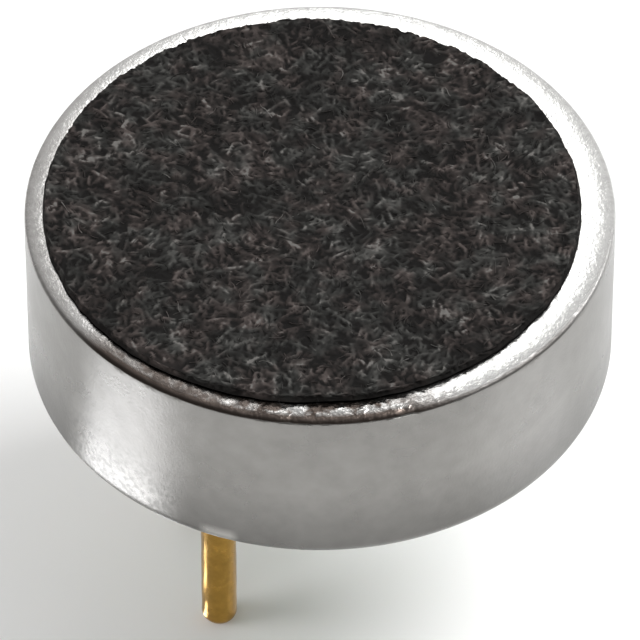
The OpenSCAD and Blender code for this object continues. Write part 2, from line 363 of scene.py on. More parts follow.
def arc(middle, radius, start, end, steps):
    """Points of an arc in the (radius, height) plane, between two angles in degrees."""
    turns = [math.radians(start + (end - start) * step / steps) for step in range(steps + 1)]
    return [(middle[0] + radius * math.cos(turn), middle[1] + radius * math.sin(turn)) for turn in turns]


def line(start, end, steps):
    """Points between two points, without the ends."""
    return [
        tuple(a + (b - a) * step / steps for a, b in zip(start, end)) for step in range(1, steps)
    ]


def outward(profile):
    """The unit normal of each point of a closed profile, pointing to its right."""
    found = []
    total = len(profile)
    for index in range(total):
        before, after = profile[index - 1], profile[(index + 1) % total]
        along = Vector((after[0] - before[0], after[1] - before[1])).normalized()
        found.append((-along.y, along.x))
    return found


def flat_piece(loops, keep, low, high):
    """A flat piece between two heights, cut from overlapping loops of points in millimetres.

    keep gets the set of loops around a spot and says whether the piece covers that spot.
    """
    points, outlines = [], []
    for loop in loops:
        outlines.append(list(range(len(points), len(points) + len(loop))))
        points += [Vector(p) for p in loop]
    spots, _, cells, _, _, inside = delaunay_2d_cdt(points, [], outlines, 0, 1e-5)
    cells = [cell for cell, loops_here in zip(cells, inside) if keep(set(loops_here))]
    used = sorted({v for cell in cells for v in cell})
    place = {v: i for i, v in enumerate(used)}
    cells = [[place[v] for v in cell] for cell in cells]
    total = len(used)
    solid = [(spots[v].x * MM, spots[v].y * MM, z) for z in (low, high) for v in used]
    sides = {(a, b) for cell in cells for a, b in zip(cell, cell[1:] + cell[:1])}
    faces = [cell[::-1] for cell in cells] + [[v + total for v in cell] for cell in cells]
    faces += [(a, b, b + total, a + total) for a, b in sides if (b, a) not in sides]
    return finish_mesh(solid, faces, 30)


def circle_points(x, y, radius, steps):
    """Points of a circle in millimetres, from sizes in metres."""
    return [
        (
            (x + radius * math.cos(FULL_TURN * step / steps)) / MM,
            (y + radius * math.sin(FULL_TURN * step / steps)) / MM,
        )
        for step in range(steps)
    ]


def put(piece, slot, *nodes):
    """The piece rides on the part's body and stands for the nodes; the slot is not used."""
    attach(piece, BODY)
    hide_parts(*nodes)


# Node trees

class Nodes:
    """A node tree, built step by step."""

    def __init__(self, tree):
        self.tree = tree

    def add(self, kind, inputs=(), **settings):
        """A node with its settings made and its inputs, by name or number, set or linked."""
        node = self.tree.nodes.new(kind)
        for key, value in settings.items():
            setattr(node, key, value)
        for key, value in dict(inputs).items():
            self.feed(node.inputs[key], value)
        return node

    def make(self, kind, **inputs):
        """The first output of a node, whose inputs are named with underscores for spaces."""
        return self.add(kind, {key.replace("_", " "): value for key, value in inputs.items()}).outputs[0]

    def feed(self, socket, value):
        """Links an output to the socket, or sets its value."""
        if isinstance(value, bpy.types.NodeSocket):
            self.tree.links.new(value, socket)
        else:
            socket.default_value = value

    def math(self, operation, one, two=0.0):
        """A calculation with two numbers."""
        return self.add("ShaderNodeMath", {0: one, 1: two}, operation=operation).outputs[0]

    def plus(self, one, two):
        """The sum of two numbers."""
        return self.math("ADD", one, two)

    def times(self, one, two):
        """The product of two numbers."""
        return self.math("MULTIPLY", one, two)

    def vector(self, operation, one, two=(0, 0, 0)):
        """A calculation with vectors. A dot product or a length gives a number."""
        node = self.add("ShaderNodeVectorMath", {0: one, 1: two}, operation=operation)
        return node.outputs["Value" if operation in ("DOT_PRODUCT", "LENGTH") else "Vector"]

    def from_axis(self, place):
        """How far a place lies from the upright axis."""
        return self.vector("LENGTH", self.vector("MULTIPLY", place, (1, 1, 0)))

    def parts(self, vector):
        """The three outputs X, Y and Z of a vector."""
        return self.add("ShaderNodeSeparateXYZ", {0: vector}).outputs

    def span(self, value, low, high, to_low, to_high):
        """A number moved from one range to another, and kept in it."""
        inputs = {0: value, 1: low, 2: high, 3: to_low, 4: to_high}
        return self.add("ShaderNodeMapRange", inputs).outputs[0]

    def ramp(self, value, stops):
        """A colour picked by a number, from (place, colour) stops."""
        node = self.add("ShaderNodeValToRGB", {"Fac": value})
        points = node.color_ramp.elements
        while len(points) < len(stops):
            points.new(0.5)
        for point, (place, tint) in zip(points, stops):
            point.position = place
            point.color = (*tint, 1)
        return node.outputs["Color"]


# Materials

class Finish(Nodes):
    """One node-based material."""

    def __init__(self, name):
        self.material = bpy.data.materials.new(name)
        self.material.use_nodes = True
        super().__init__(self.material.node_tree)
        self.shader = self.tree.nodes["Principled BSDF"]
        self.place = self.add("ShaderNodeTexCoord").outputs["Object"]

    def set(self, **values):
        """Sets or links inputs of the shader, named with underscores for spaces; the material."""
        for key, value in values.items():
            self.feed(self.shader.inputs[key.replace("_", " ")], value)
        return self.material

    def stretched(self, scale):
        """The place on the piece, stretched by a scale for each axis."""
        return self.make("ShaderNodeMapping", Vector=self.place, Scale=scale)

    def grain(self, size, detail=2.0, rough=0.5, place=None):
        """Noise whose features have about this size in metres."""
        return self.add(
            "ShaderNodeTexNoise",
            {"Vector": place or self.place, "Scale": 1 / size, "Detail": detail, "Roughness": rough},
        ).outputs["Fac"]

    def towards(self, side):
        """How far a place lies to one side, in metres."""
        return self.vector("DOT_PRODUCT", self.place, side)

    def marked(self, mark, least):
        """How strong a mark on one side of the can is, from least to 1."""
        side, start, full = mark
        return self.span(self.towards(side), start, full, least, 1)

    def shade(self, value, tint, dark, pale, low=0.3, high=0.7):
        """A colour that goes from a darker to a paler shade as the value rises."""
        return self.ramp(value, [(low, scaled(tint, dark)), (high, scaled(tint, pale))])

    def around(self, value, middle, spread):
        """A number that rises with the value, around a middle."""
        return self.span(value, 0.3, 0.7, middle - spread, middle + spread)

    def blend(self, share_of_two, one, two):
        """Two colours mixed by a number."""
        return self.add("ShaderNodeMix", {0: share_of_two, 6: one, 7: two}, data_type="RGBA").outputs[2]

    def bump(self, height, distance, normal=None):
        """A surface raised by up to the distance in metres, over another bump if that is given."""
        inputs = {"Height": height, "Distance": distance, "Strength": 1.0}
        if normal:
            inputs["Normal"] = normal
        return self.make("ShaderNodeBump", **inputs)


def scaled(tint, factor):
    """A colour made lighter or darker."""
    return tuple(min(1.0, part * factor) for part in tint)


def can_wall(finish, looks, height, cloud, speckled, speck):
    """Colour of the can's wall: mottled, with painted shade low down, specks and one painted glint on the
    rear bend.
    """
    mottle = finish.plus(finish.times(cloud, 0.6), finish.times(finish.grain(PATCH, 3), 0.4))
    wall = finish.shade(mottle, looks.metal, 0.88, 1.08, 0.35, 0.65)
    # Painted shade: the wall is darkened towards its foot.
    wall = finish.blend(finish.span(height, *PAINTED_SHADE_TOP, 0.62, 1), (0, 0, 0, 1), wall)
    wall = finish.blend(speckled, wall, finish.shade(speck, looks.metal, 0.85, 1.25, 0.35, 0.6))
    # Painted glint: the metal is made paler in one patch on the rear bend.
    aside = finish.math("ABSOLUTE", finish.towards(PAINTED_GLINT_ACROSS))
    spot = finish.times(finish.span(aside, *PAINTED_GLINT_HALF, 1, 0), finish.span(height, *PAINTED_GLINT_TOP, 1, 0))
    return finish.blend(spot, wall, (*scaled(looks.metal, 1.5), 1))


def can_rim(finish, looks, rub, pitted, across):
    """Colour of the can's front rim with grime, painted shade and a painted dark line, and how strong the
    grime with shade and the dark line are.
    """
    from_wall = finish.math("SUBTRACT", CAN_HALF.x, finish.from_axis(finish.place))
    # Grime and painted shade: strongest on the rim's front-left and left side.
    mark_strength = finish.math("MAXIMUM", finish.marked(GRIME_AND_SHADE_SIDE, 0.04), finish.span(across, *LEFT_GRIME_AND_SHADE, 0.42, 0))
    patches = finish.span(
        finish.grain(PATCH, 3, 0.6), 0.46, 0.6,
        finish.span(pitted, 0, 1, 0.95, 1), finish.span(pitted, 0, 1, 0.75, 0.05),
    )
    # Painted shade: the rim's outer part next to the wall is darkened.
    lower = finish.span(from_wall, *LOWER_GRIME_AND_SHADE, 0.1, 1)
    grime_and_shade = finish.times(finish.math("MAXIMUM", patches, lower), mark_strength)
    rim = finish.blend(grime_and_shade, finish.shade(rub, looks.rubbed, 0.85, 1, 0.35, 0.6), (*looks.grime, 1))
    # Painted shade: a near-black line on the rim next to the wall, strongest on the front.
    painted_dark_line = finish.times(finish.span(from_wall, *PAINTED_DARK_LINE, 0, 0.85), finish.marked(PAINTED_DARK_LINE_SIDE, 0.1))
    return finish.blend(painted_dark_line, rim, (*scaled(looks.grime, 0.3), 1)), grime_and_shade, painted_dark_line


def can_metal(looks):
    """Satin drawn aluminium: a faintly marked wall with painted shade low down and a painted glint, and a
    rubbed front rim with grime, painted shade, a painted dark line and pits.
    """
    finish = Finish("satin_aluminium")
    place = finish.parts(finish.place)
    grain, speck, rub = finish.grain(GRAIN, 3, 0.6), finish.grain(SPECK), finish.grain(RUB)
    cloud = finish.grain(CLOUD, 3, 0.55)
    drawn = finish.grain(0.09 * MM, place=finish.stretched((1, 1, 0.05)))
    bend = front_edge(looks)[1]
    rim_end = bend[1] + looks.edge_bend * math.sin(math.radians(RIM_END_DEGREES))
    edge = finish.span(place["Z"], rim_end - RIM_BLEND, rim_end + RIM_BLEND, 0, 1)
    pitted = finish.marked(PITTED, 0.08)
    speckled = finish.times(finish.marked(SPECKLED, 0), finish.span(place["Z"], *SPECKLED_TOP, 1, 0))
    wall = can_wall(finish, looks, place["Z"], cloud, speckled, speck)
    rim, grime_and_shade, painted_dark_line = can_rim(finish, looks, rub, pitted, place["X"])
    wall_rough = finish.around(cloud, looks.roughness, 0.05)
    wall_rough = finish.math("SUBTRACT", wall_rough, finish.times(speckled, 0.03))
    rim_rough = looks.rubbed_roughness
    rim_rough = finish.span(rub, 0.35, 0.65, rim_rough + 0.06, rim_rough - 0.04)
    rim_rough = finish.plus(rim_rough, finish.plus(finish.times(grime_and_shade, 0.1), finish.times(painted_dark_line, 0.4)))
    pits = finish.times(finish.times(rub, edge), pitted)
    pits = finish.plus(pits, finish.times(finish.times(grain, edge), 0.045))
    pits = finish.plus(pits, finish.times(finish.times(speck, speckled), 0.08))
    lines = finish.bump(drawn, 0.0004 * MM, finish.bump(grain, 0.004 * MM))
    return finish.set(
        Base_Color=finish.blend(edge, wall, rim),
        Metallic=1.0,
        Roughness=finish.span(edge, 0, 1, wall_rough, rim_rough),
        Normal=finish.bump(pits, 0.035 * MM, lines),
    )


def felt_skin(name, looks, roughness):
    """Felt whose tone comes from the mesh, in faintly warmer and cooler patches."""
    finish = Finish(name)
    tone = finish.add("ShaderNodeAttribute", attribute_name="tone").outputs["Fac"]
    clump = finish.span(finish.grain(0.34 * MM), 0.32, 0.68, -0.2, 0.22)
    patch = finish.span(finish.grain(CLOUD, 3), 0.32, 0.68, -0.14, 0.14)
    lit = finish.plus(tone, finish.plus(clump, patch))

    def shades(tint):
        base = [part * t for part, t in zip(looks.base, tint)]
        between = [(place, scaled(base, factor)) for place, factor in ((0.35, 0.6), (0.6, 1.1), (0.85, 2.2))]
        return finish.ramp(lit, [(0.05, looks.dark), *between, (1.0, looks.light)])

    return finish.set(
        Base_Color=finish.blend(
            finish.span(finish.grain(0.5 * MM), 0.42, 0.58, 0, 1),
            shades((1.07, 0.97, 0.95)),
            shades((0.93, 1.0, 0.99)),
        ),
        Roughness=roughness,
        Specular_IOR_Level=0.12,
        Normal=finish.bump(finish.grain(0.07 * MM, 3, 0.65), 0.006 * MM),
    )


def pin_gold(looks):
    """Gold plating with fine lines along the pin."""
    finish = Finish("gold_plating")
    drawn = finish.grain(0.05 * MM, 3, 0.6, finish.stretched((1, 1, 0.08)))
    spots = finish.grain(0.16 * MM, 3, 0.6)
    return finish.set(
        Base_Color=finish.shade(spots, looks.gold, 0.8, 1.1),
        Metallic=1.0,
        Roughness=finish.span(spots, 0.3, 0.7, looks.roughness - 0.04, looks.roughness + 0.07),
        Normal=finish.bump(drawn, 0.0025 * MM),
    )


def pin_solder(looks):
    """Solder with a faintly frosted skin."""
    finish = Finish("solder_skin")
    cloud = finish.grain(0.3 * MM)
    return finish.set(
        Base_Color=finish.shade(cloud, looks.solder, 0.85, 1.1),
        Metallic=1.0,
        Roughness=finish.around(cloud, 0.29, 0.09),
        Normal=finish.bump(finish.grain(0.06 * MM, 3, 0.6), 0.004 * MM),
    )


def board_mask(looks):
    """Green solder mask over a glass weave."""
    finish = Finish("solder_mask")
    weave = [
        finish.add(
            "ShaderNodeTexWave",
            {"Vector": finish.place, "Scale": 0.6 / MM, "Distortion": 0.6},
            wave_type="BANDS",
            bands_direction=direction,
        ).outputs["Fac"]
        for direction in ("X", "Y")
    ]
    cloth = finish.math("MAXIMUM", *weave)
    cloud = finish.grain(0.5 * MM, 3)
    mottle = finish.plus(finish.times(cloth, 0.35), finish.times(cloud, 0.65))
    return finish.set(
        Base_Color=finish.shade(mottle, looks.mask, 0.75, 1.3, 0.3, 0.8),
        Roughness=finish.around(cloud, 0.36, 0.06),
        Coat_Weight=0.3,
        Coat_Roughness=0.15,
        Normal=finish.bump(cloth, 0.004 * MM),
    )


def plain_skin(name, tint, roughness, metal):
    """A plain metal, or else a plastic, ceramic or film, with a fine grain."""
    finish = Finish(name)
    size, cloud_size, dark, pale, spread = 0.1 * MM, 0.8 * MM, 0.88, 1.08, 0.05
    if metal:
        size, cloud_size, dark, pale, spread = 0.08 * MM, 0.96 * MM, 0.85, 1.1, 0.07
    fine = finish.grain(size, 3, 0.6)
    return finish.set(
        Base_Color=finish.shade(finish.grain(cloud_size), tint, dark, pale),
        Metallic=float(metal),
        Roughness=finish.around(fine, roughness, spread),
        Normal=finish.bump(fine, 0.003 * MM),
    )


# Geometry of the pieces

def front_edge(looks):
    """Where the crown ends, and the middle of the bend that follows it, as (radius, height)."""
    bend = looks.edge_bend
    end = CAN_HALF.x - bend * (1 - math.sin(looks.lean))
    fall = (end - (CAN_HALF.x - looks.crown)) * math.tan(looks.lean) / 2
    end = (end, CAN_HIGH.z - fall)
    return end, (CAN_HALF.x - bend, end[1] - bend * math.cos(looks.lean))


def can_profile(looks):
    """The can's section from the sound port, over the outside, to the inside; its outside points."""
    radius, top, sheet = CAN_HALF.x, CAN_HIGH.z, looks.sheet
    front, rear = looks.front_bend, looks.rear_bend
    lip = radius - looks.lip
    chamfer = 0.02 * MM
    shoulder = (radius - front, top - front)
    heel = (radius - rear, rear)
    crown, (crown_end, bend) = radius - looks.crown, front_edge(looks)
    rim_start = radius - RIM_WIDTH
    outside = [(looks.port + chamfer, top), (rim_start, top)]
    outside += line((rim_start, top), (crown, top), 6)
    for step in range(CROWN_STEPS):
        along = step / CROWN_STEPS
        outside.append((crown + along * (crown_end[0] - crown), top - along * along * (top - crown_end[1])))
    outside += arc(bend, looks.edge_bend, 90 - math.degrees(looks.lean), 0, 12)
    outside += line(outside[-1], (radius, shoulder[1] - 0.4 * MM), 9)
    outside += line((radius, shoulder[1] - 0.4 * MM), (radius, heel[1]), 12)
    outside += arc(heel, rear, 0, -90, 10)
    outside += line((heel[0], 0), (lip + chamfer, 0), 5)
    outside.append((lip + chamfer, 0))
    inside = [(lip, chamfer), (lip, sheet - chamfer), (lip + chamfer, sheet), (heel[0], sheet)]
    inside += arc(heel, rear - sheet, -90, 0, 5)[1:]
    inside += [(radius - sheet, shoulder[1])]
    inside += arc(shoulder, front - sheet, 0, 90, 3)[1:]
    inside += [(looks.port + chamfer, top - sheet), (looks.port, top - sheet + chamfer)]
    inside += [(looks.port, top - chamfer)]
    return outside + inside, len(outside)


def can_mesh(looks):
    """The can as one closed sheet, with a dented, nicked front edge."""
    profile, outside = can_profile(looks)
    normals = outward(profile)
    radius = CAN_HALF.x
    bend = front_edge(looks)[1]
    rim_start, rim_end = radius - RIM_WIDTH, bend[1]
    weights = []
    for index, (r, z) in enumerate(profile):
        weight = 0.0
        if index < outside and z > rim_end:
            weight = min(1.0, (z - rim_end) / (0.05 * MM)) * min(1.0, max(0.0, r - rim_start) / (0.1 * MM))
        weights.append(weight)
    side, start, full = PITTED
    pick = random.Random(11)
    nicks = []
    for _ in range(looks.nicks):
        turn = pick.gauss(NICK_MIDDLE, NICK_SPREAD)
        lean = math.radians(pick.uniform(35, 80))
        r = bend[0] + looks.edge_bend * math.cos(lean)
        z = bend[1] + looks.edge_bend * math.sin(lean)
        nicks.append(
            (
                polar(r, turn, z),
                pick.uniform(0.05, 0.13) * MM,
                pick.uniform(0.3, 1.0) * looks.nick,
            )
        )

    def shape(point, index, turn):
        if index >= outside:
            return point
        across, up = normals[index]
        way = polar(across, turn, up)
        wave = WAVINESS * (noise.noise(point * (1 / (2.2 * MM))) - 1)
        weight = weights[index]
        if weight:
            mark_strength = (point @ Vector(side) - start) / (full - start)
            mark_strength = LEAST_WORN + (1 - LEAST_WORN) * max(0.0, min(1.0, mark_strength))
            wave += weight * mark_strength * looks.dent * (
                noise.noise(point * (1 / (0.3 * MM))) + 0.6 * noise.noise(point * (1 / (0.13 * MM)))
            )
            for spot, size, depth in nicks:
                away = (point - spot).length / size
                if away < 2.5:
                    wave -= depth * math.exp(-away * away)
        return point + way * wave

    return turned(profile, CAN_STEPS, shape=shape, loop=True)


class Tufts:
    """Flattened tufts scattered over the felt's face, found by their place."""

    CELL = 0.25 * MM
    # Half length as a share of the width, for short tufts and for the share of long ones
    SHORT, LONG, LONG_SHARE = (0.7, 1.4), (1.5, 2.4), 0.25
    # Mean tone and its spread, and the range of tones of the share of pale tufts
    TONE, PALE, PALE_SHARE = (0.42, 0.24), (0.64, 0.92), 0.18

    def __init__(self, looks):
        pick = random.Random(31)
        self.cells, self.rise = {}, looks.tuft_rise
        reach = FELT_HALF.x + 4 * FELT_HALF.z
        for _ in range(looks.tufts):
            away = reach * math.sqrt(pick.random())
            turn, lie = pick.uniform(0, FULL_TURN), pick.uniform(0, math.pi)
            short = pick.random() > self.LONG_SHARE
            half = looks.tuft_width * pick.uniform(*(self.SHORT if short else self.LONG))
            plain = pick.random() > self.PALE_SHARE
            tone = pick.gauss(*self.TONE) if plain else pick.uniform(*self.PALE)
            tuft = (
                away * math.cos(turn), away * math.sin(turn), math.cos(lie), math.sin(lie), half,
                looks.tuft_width * pick.uniform(0.3, 0.48), pick.uniform(-0.4, 0.4) * looks.tuft_width,
                looks.tuft_rise * pick.uniform(0.5, 1.0), tone,
            )
            span = int(half / self.CELL) + 1
            column, row = self.cell(tuft[0], tuft[1])
            for x in range(column - span, column + span + 1):
                for y in range(row - span, row + span + 1):
                    self.cells.setdefault((x, y), []).append(tuft)

    def cell(self, x, y):
        return math.floor(x / self.CELL), math.floor(y / self.CELL)

    def at(self, x, y):
        """Height and tone of the felt's face at a place, eased from tuft to tuft; the tone is darkened where
        the face is low, a painted shade between the tufts.
        """
        total, high, shown = 0.0, 0.0, 0.0
        for mx, my, across, up, half, wide, bend, rise, tone in self.cells.get(self.cell(x, y), ()):
            dx, dy = x - mx, y - my
            along = (dx * across + dy * up) / half
            if abs(along) >= 1:
                continue
            side = (dy * across - dx * up - bend * (along * along - 0.4)) / wide
            if abs(side) >= 1:
                continue
            height = rise * (1 - side * side) * (1 - along**4)
            weight = (height / self.rise) ** 2
            total += weight
            high += weight * height
            shown += weight * tone
        if not total:
            return 0.0, 0.0
        high /= total
        # Painted shade: the tone is darkened where the face sinks between tufts.
        return high, shown / total * min(1.0, 0.15 + 1.7 * high / self.rise)


def felt_mesh(looks):
    """The felt disc: a face of pressed tufts, a soft upper edge and a ragged cut side."""
    radius, low, top, edge = FELT_HALF.x + looks.tuft_rise, FELT_LOW.z, FELT_HIGH.z, looks.edge
    tufts = Tufts(looks)
    flat = radius - edge
    profile = [(0, top)] + line((0, top), (flat, top), round(flat / looks.grid))
    profile += arc((flat, top - edge), edge, 90, 0, 6)
    profile += line((radius, top - edge), (radius, low), 6)
    profile += [(radius, low), (radius - 0.5 * MM, low), (0, low)]
    normals = [(0, 1)] + outward(profile)[1:]
    points, tones, rings, faces = [], [], [], []
    unrolled = 0.0
    for index, (r, z) in enumerate(profile):
        if index:
            unrolled += math.dist(profile[index - 1], (r, z))
        steps = max(6, round(FULL_TURN * r / looks.grid)) if r else 1
        rings.append(range(len(points), len(points) + steps))
        weight = min(1.0, (z - low) / (0.05 * MM))
        for step in range(steps):
            turn = FULL_TURN * step / steps
            way = polar(1, turn)
            spot = way * r + Vector((0, 0, z))
            rise, tone = tufts.at(way.x * unrolled, way.y * unrolled)
            rim = way * radius
            wander = noise.noise(rim / (0.9 * MM)) + 0.8 * noise.noise(rim / (0.3 * MM)) - 1
            bumps = noise.noise(spot / (0.8 * MM)) + 0.6 * noise.noise(spot / (0.28 * MM)) - 1
            out = way * normals[index][0] + Vector((0, 0, normals[index][1]))
            spot += out * weight * (rise - looks.tuft_rise + looks.lump * bumps)
            spot += way * (looks.ragged * 0.5 * wander * (r / radius) ** 8)
            points.append((spot.x + FELT_MID.x, spot.y + FELT_MID.y, spot.z))
            # Painted shade: the tone fades on the felt's cut side and towards its foot against the can.
            tones.append(tone * weight * (0.5 + 0.5 * normals[index][1]))
    for one, two in zip(rings, rings[1:]):
        faces += zipped(one, two)
    mesh = finish_mesh(points, faces, 85)
    mesh.attributes.new("tone", "FLOAT", "POINT").data.foreach_set("value", tones)
    return mesh


def pin_mesh(node, looks):
    """A headed pin with a rounded end."""
    middle, half, low, high = node_box(node)
    radius = PIN_RADIUS
    tip, root = looks.tip, radius + looks.root
    seat = COPPER_LOW.z
    profile = [(0, low.z), ((radius - tip) * 0.5, low.z)]
    profile += arc((radius - tip, low.z + tip), tip, -90, 0, 10)
    profile += line((radius, low.z + tip), (radius, seat), 40)
    profile += [(radius, seat), (root, INNER_COPPER_TOP), (half.x, INNER_COPPER_TOP)]
    profile += [(half.x, high.z), (0, high.z)]

    def shape(point, index, turn):
        if point.z > seat or not profile[index][0]:
            return point
        uneven = noise.noise(point * (1 / (0.22 * MM)) + middle * PIN_SALT)
        around = Vector((point.x, point.y, 0)).normalized()
        return point + around * looks.wobble * (uneven - 0.6)

    return turned(profile, PIN_STEPS, (middle.x, middle.y), shape, sharp_degrees=50)


def solder_mesh(node, looks):
    """The hollow cone of solder between a pin and its land."""
    middle, _, _, high = node_box(node)
    radius, salt = PIN_RADIUS, middle * PIN_SALT
    fillet = looks.fillet
    profile = arc((radius + fillet, high.z - fillet), fillet, 180, 90, 18)
    profile += [(radius, high.z)]

    def shape(point, index, turn):
        r = profile[index][0]
        if r <= radius:
            return point
        out = (r - radius) / fillet
        around = polar(1, turn)
        uneven = noise.noise(around * 1.6 + salt) + 0.4 * noise.noise(around * 4 + salt)
        return point + around * (0.03 * MM * out * (uneven - 0.5))

    return turned(profile, SOLDER_STEPS, (middle.x, middle.y), shape, loop=True, sharp_degrees=60)


def pin_places():
    """The (x, y) of the ground pin and the output pin."""
    return [tuple(node_box(node)[0][:2]) for node in ("ground_pin", "output_pin")]


def board_mesh(looks):
    """The board with its two pin holes."""
    loops = [circle_points(0, 0, BOARD_HALF.x, DISC_STEPS)]
    loops += [circle_points(x, y, looks.hole, HOLE_STEPS) for x, y in pin_places()]
    return flat_piece(loops, lambda here: here == {0}, BOARD_LOW.z, BOARD_HIGH.z)


def copper_mesh(looks):
    """The ground ring with three tracks fanned out from the ground pin, and both lands."""
    ground = pin_places()[0]
    out = math.atan2(ground[1], ground[0])
    loops = [circle_points(0, 0, radius, DISC_STEPS) for radius in (COPPER_HALF.x, looks.ring)]
    loops += [circle_points(x, y, looks.hole, HOLE_STEPS) for x, y in pin_places()]
    loops += [circle_points(x, y, looks.land, LAND_STEPS) for x, y in pin_places()]
    for step in (-1, 0, 1):
        turn = out + step * looks.fan
        along = Vector((math.cos(turn), math.sin(turn)))
        side = Vector((-along.y, along.x)) * (looks.track / 2)
        start = Vector(ground)
        end = start + along * CAN_HALF.x
        loops.append([tuple(p / MM) for p in (start - side, end - side, end + side, start + side)])

    def keep(here):
        if 0 not in here or here & {2, 3}:
            return False
        return 1 not in here or bool(here - {0, 1})

    return flat_piece(loops, keep, COPPER_LOW.z, COPPER_HIGH.z)


# Fibres

class Web(Nodes):
    """A geometry node tree with named inputs."""

    def __init__(self, name):
        super().__init__(bpy.data.node_groups.new(name, "GeometryNodeTree"))
        self.inlet = None
        self.sockets = {}

    def inputs(self, **kinds):
        """Named inputs of the tree."""
        for key, kind in kinds.items():
            socket = self.tree.interface.new_socket(
                key.replace("_", " "), in_out="INPUT", socket_type="NodeSocket" + kind
            )
            self.sockets[key] = socket.identifier
        self.tree.interface.new_socket("Geometry", in_out="OUTPUT", socket_type="NodeSocketGeometry")
        self.inlet = self.tree.nodes.new("NodeGroupInput")

    def value(self, key):
        """The output of a named input."""
        return self.inlet.outputs[key.replace("_", " ")]

    def chance(self, low, high, salt):
        """A random number for each fibre."""
        seed = self.plus(self.value("Seed"), salt)
        return self.add("FunctionNodeRandomValue", {2: low, 3: high, "Seed": seed}).outputs[1]

    def end(self, geometry):
        """The tree's result."""
        self.tree.links.new(geometry, self.tree.nodes.new("NodeGroupOutput").inputs[0])


# Every fibre shape of unit length: its two bends, and its radius
FIBRE_SHAPES = (
    ((-0.2, 0.05, 0.03), (0.2, -0.03, 0.05), 0.07),
    ((-0.2, 0.18, 0.04), (0.2, 0.16, 0.02), 0.075),
    ((-0.2, 0.16, 0.02), (0.2, -0.16, 0.06), 0.07),
    ((-0.1, 0.26, 0.05), (0.25, 0.08, 0.05), 0.08),
)
# Thickness of a fibre's ends, and its length at the felt's edge, as shares of the full ones
FIBRE_TIP = 0.45
EDGE_LENGTH = 0.55
# Faces that point up less than this carry no fibres
LEAST_UPWARD = 0.25
# Tilt of fibres on the face and on the cut edge, and the width of the band at that edge
FIBRE_TILT, EDGE_TILT = math.radians(9), math.radians(20)
EDGE_BAND = 0.16 * MM


def fibre_web():
    """Short bent fibres that lie at random on the upward faces of the felt."""
    web = Web("felt_fibres")
    web.inputs(
        Geometry="Geometry", Centre="Vector", Inner_Radius="Float", Outer_Radius="Float",
        Edge_Margin="Float", Density="Float", Shortest="Float", Longest="Float", Lift="Float",
        Tilt="Float", Flat="Float", Palest="Float", Darkest="Float", Material="Material", Seed="Int",
    )
    given = web.value
    position = web.make("GeometryNodeInputPosition")
    radius = web.from_axis(web.vector("SUBTRACT", position, given("Centre")))
    upward = web.parts(web.make("GeometryNodeInputNormal"))["Z"]
    within = web.times(
        web.math("GREATER_THAN", radius, given("Inner_Radius")),
        web.math("LESS_THAN", radius, given("Outer_Radius")),
    )
    points = web.make(
        "GeometryNodeDistributePointsOnFaces",
        Mesh=given("Geometry"),
        Selection=web.times(within, web.math("GREATER_THAN", upward, LEAST_UPWARD)),
        Density=given("Density"),
        Seed=given("Seed"),
    )
    rise = web.chance(web.times(given("Lift"), -0.5), given("Lift"), 1)
    rise = web.make("ShaderNodeCombineXYZ", Z=rise)
    points = web.make("GeometryNodeSetPosition", Geometry=points, Offset=rise)
    shapes = web.add("GeometryNodeJoinGeometry")
    along = web.add("GeometryNodeSplineParameter").outputs["Factor"]
    from_middle = web.math("ABSOLUTE", web.math("SUBTRACT", along, 0.5))
    taper = web.span(from_middle, 0.3, 0.5, 1.0, FIBRE_TIP)
    for one, two, thick in FIBRE_SHAPES:
        curve = web.make(
            "GeometryNodeCurvePrimitiveBezierSegment",
            Resolution=4, Start=(-0.5, 0, 0), Start_Handle=one, End_Handle=two, End=(0.5, 0, 0),
        )
        ring = web.make("GeometryNodeCurvePrimitiveCircle", Resolution=3, Radius=thick)
        tube = web.make(
            "GeometryNodeCurveToMesh", Curve=curve, Profile_Curve=ring, Scale=taper, Fill_Caps=True
        )
        single = web.make("GeometryNodeGeometryToInstance", Geometry=tube)
        web.tree.links.new(single, shapes.inputs[0])
    lean = web.times(given("Tilt"), -1.0)
    turn = web.make(
        "ShaderNodeCombineXYZ",
        X=web.chance(lean, given("Tilt"), 2),
        Y=web.chance(lean, given("Tilt"), 3),
        Z=web.chance(0.0, FULL_TURN, 4),
    )
    inner = web.math("SUBTRACT", given("Outer_Radius"), given("Edge_Margin"))
    trim = web.span(radius, inner, given("Outer_Radius"), 1.0, EDGE_LENGTH)
    long = web.times(web.chance(given("Shortest"), given("Longest"), 5), trim)
    fibres = web.make(
        "GeometryNodeInstanceOnPoints",
        Points=points,
        Instance=shapes.outputs[0],
        Pick_Instance=True,
        Instance_Index=web.math("FLOOR", web.chance(0.0, len(FIBRE_SHAPES) - 0.001, 6)),
        Rotation=web.add("FunctionNodeEulerToRotation", {0: turn}).outputs[0],
        Scale=web.make("ShaderNodeCombineXYZ", X=long, Y=long, Z=web.times(long, given("Flat"))),
    )
    tone = web.chance(given("Darkest"), given("Palest"), 7)
    fibres = web.add(
        "GeometryNodeStoreNamedAttribute",
        {"Geometry": fibres, "Name": "tone", "Value": tone},
        domain="INSTANCE",
        data_type="FLOAT",
    ).outputs[0]
    fibres = web.make("GeometryNodeRealizeInstances", Geometry=fibres)
    fibres = web.make("GeometryNodeSetMaterial", Geometry=fibres, Material=given("Material"))
    web.end(fibres)
    return web


